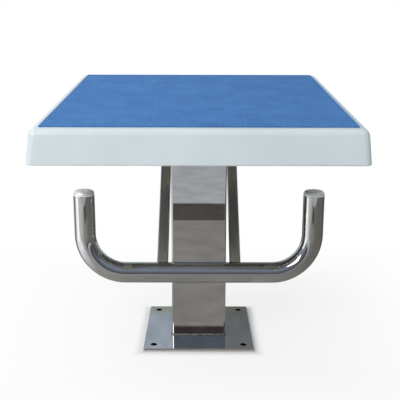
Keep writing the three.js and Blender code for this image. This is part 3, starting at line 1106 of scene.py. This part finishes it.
# %% Lay the floor cards
CARD_HEIGHT = 0.002  # above the floor
FLOOR_REAR_END = 1.9
BAND_NEAR = -0.908
BRIGHT_NEAR_END = -0.5
BRIGHT_HEIGHT = 0.003  # just over the cards that it lies on


def floor_card(part, x, y, axis, stops, height=CARD_HEIGHT, strength=1.0):
    card("card_floor_" + part, lying(*x, *y, height), axis, stops, strength)


whole = (-FLOOR_SIDE, FLOOR_SIDE)
near = (BAND_NEAR, -PLATE_CLEAR)
band = (BAND_FAR, BAND_NEAR)
beside = (-PLATE_CLEAR, PLATE_CLEAR)
bright = ((-FLOOR_SIDE, BRIGHT_EDGE), (BRIGHT_NEAR_END, 0))
floor_card("near", whole, near, "X", ACROSS)
floor_card("near_left", (-FLOOR_SIDE, BAND_LEFT), band, "X", ACROSS)
floor_card("left", (-FLOOR_SIDE, -PLATE_CLEAR), beside, "X", TO_LEFT)
floor_card("right", (PLATE_CLEAR, FLOOR_SIDE), beside, "X", TO_RIGHT)
floor_card("bright", *bright, "X", BRIGHT, height=BRIGHT_HEIGHT, strength=1.3)
floor_card("band", (BAND_LEFT, BAND_RIGHT), band, "X", DARK)
floor_card("near_right", (BAND_RIGHT, FLOOR_SIDE), band, "X", BEYOND)
floor_card("far", whole, (FLOOR_NEAR_END, BAND_FAR), "Y", FAR)
floor_card("rear", whole, (PLATE_CLEAR, FLOOR_REAR_END), "X", REAR)

# %% [markdown]
# ## Cards beside the handle
# A low white card on the left, standing for a window, paints the long white
# bands into the handle's uprights, with a bright card on the floor before it.
# A small card just under the bar paints a paler reflection into the bar's lower
# edge, where the plate's dark mirror image would be.

# %% Stand the handle's cards
WINDOW = [(BRIGHT_HEIGHT, "#FFFFFF"), (0.35, "#F4F8FF")]
WINDOW_PANE = side_on(x=-0.68, y0=-0.36, y1=-0.06, z0=BRIGHT_HEIGHT, z1=0.35)
UNDER_BAR = lying(x0=-0.1, x1=0.1, y0=-0.095, y1=-0.05, z=0.108)

card("card_window", WINDOW_PANE, "Z", WINDOW, strength=1.5)
card("card_under_bar", UNDER_BAR, "X", ACROSS)

# %% [markdown]
# ## The card in front
# It stands 3 m in front of the block. The handle's bar mirrors all of its height,
# and the plate hands a narrow part of it up to the column's foot, where a dark
# strip makes the foot's dark band. One card with many greys leaves no gaps, as a
# stack of plain ones might.

# %% Stand the front card
ROOM_SIDE = 3
FRONT = [
    (0.0, "#4C4D52"),
    (0.35, "#5E5F64"),
    (0.55, "#6E6F76"),
    (1.25, "#6E6F76"),
    (1.26, "#BDBBB8"),
    (1.29, "#BDBBB8"),
    (1.294, "#4C474D"),
    (1.352, "#4C474D"),
    (1.366, "#707C8C"),
    (1.5, "#748094"),
    (1.8, "#7D87A3"),
    (2.1, "#8491AA"),
    (3.4, "#A4B0C4"),
]

card("card_front", standing(x0=-3.5, x1=3.5, y=-ROOM_SIDE, z0=0, z1=4.5), "Z", FRONT)
print("greys up the front card:", len(FRONT))

# %% [markdown]
# ## Cards round the room
# Four stand behind, for the top of the plate. Walls and a ceiling close the rest,
# so that nothing bare shines in the steel. A last one hangs inside the platform's
# front rim and gives the bar its blue upper band.

# %% Stand the room cards
ROOM_HEIGHT = 2.6
BEHIND = 2.0
FAR_LEFT = [(0, "#D2DAE4"), (ROOM_HEIGHT, "#C8D0DA")]
LEFT = [(0, "#9DA79F"), (0.8, "#A0AAA2"), (0.83, "#ADBBCC"), (ROOM_HEIGHT, "#C4CEDC")]
RIGHT = [(0, "#717570"), (0.8, "#757A74"), (0.83, "#757A7E"), (ROOM_HEIGHT, "#8C9296")]
FAR_RIGHT = [(0, "#C8CED4"), (0.9, "#B8BEC4"), (1, "#8C9296"), (ROOM_HEIGHT, "#8C9296")]
BEHIND_PARTS = [
    ("far_left", -ROOM_SIDE, -0.4, FAR_LEFT),
    ("left", -0.4, 0.02, LEFT),
    ("right", 0.02, 0.4, RIGHT),
    ("far_right", 0.4, ROOM_SIDE, FAR_RIGHT),
]
WALLS = [("right", ROOM_SIDE, "#5A5F66"), ("left", -ROOM_SIDE, "#98A1AC")]
CEILING = [(-ROOM_SIDE, "#8A9098"), (-1.5, "#8A9098"), (-0.5, "#C8CED6"), (2, "#C8CED6")]
UNDER_RIM = [(-0.12, "#7A89A0"), (0, "#768090"), (0.115, "#666C73")]
RIM_INSIDE = lying(x0=-0.14, x1=0.14, y0=-0.25, y1=-0.13, z=0.366)

for part, x0, x1, stops in BEHIND_PARTS:
    card("card_behind_" + part, standing(x0, x1, BEHIND, 0, ROOM_HEIGHT), "Z", stops)
for part, x, colour in WALLS:
    stops = [(0, colour), (ROOM_HEIGHT, colour)]
    card("card_wall_" + part, side_on(x, -ROOM_SIDE, BEHIND, 0, ROOM_HEIGHT), "Z", stops)
above = lying(-ROOM_SIDE, ROOM_SIDE, -ROOM_SIDE, BEHIND, ROOM_HEIGHT)
card("card_above", above, "Y", CEILING)
card("card_under_rim", RIM_INSIDE, "X", UNDER_RIM)

# %% [markdown]
# ## Lamps
# A big soft lamp high on the left is the key, and its image is the white patch
# in the handle's right bend. A weak one on the right and one overhead fill in
# without showing in the steel. All three stay at a level where white plastic
# renders just under white.

# %% Lamps
def soft_lamp(name, place, aim_height, size, watts, mirrored):
    data = bpy.data.lights.new(name, "AREA")
    data.shape = "SQUARE"
    data.size = size
    data.energy = watts
    lamp = bpy.data.objects.new(name, data)
    bpy.context.scene.collection.objects.link(lamp)
    lamp.location = place
    toward = Vector((0, 0, aim_height)) - Vector(place)
    lamp.rotation_euler = toward.to_track_quat("-Z", "Y").to_euler()
    lamp.visible_glossy = mirrored


soft_lamp("key", (-1.6, -1.85, 1.85), aim_height=0.35, size=1.5, watts=37, mirrored=True)
soft_lamp("fill", (2.2, -1.6, 1.4), aim_height=0.3, size=1.4, watts=1.8, mirrored=False)
soft_lamp(
    "overhead", (-1.1, -0.1, 2.1), aim_height=0.4, size=1.2, watts=14, mirrored=False
)
print("lamps:", len(bpy.data.lights))

# %% Sizes and finish
low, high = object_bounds()
print("box in mm:", [round(v / MM, 1) for v in high - low])
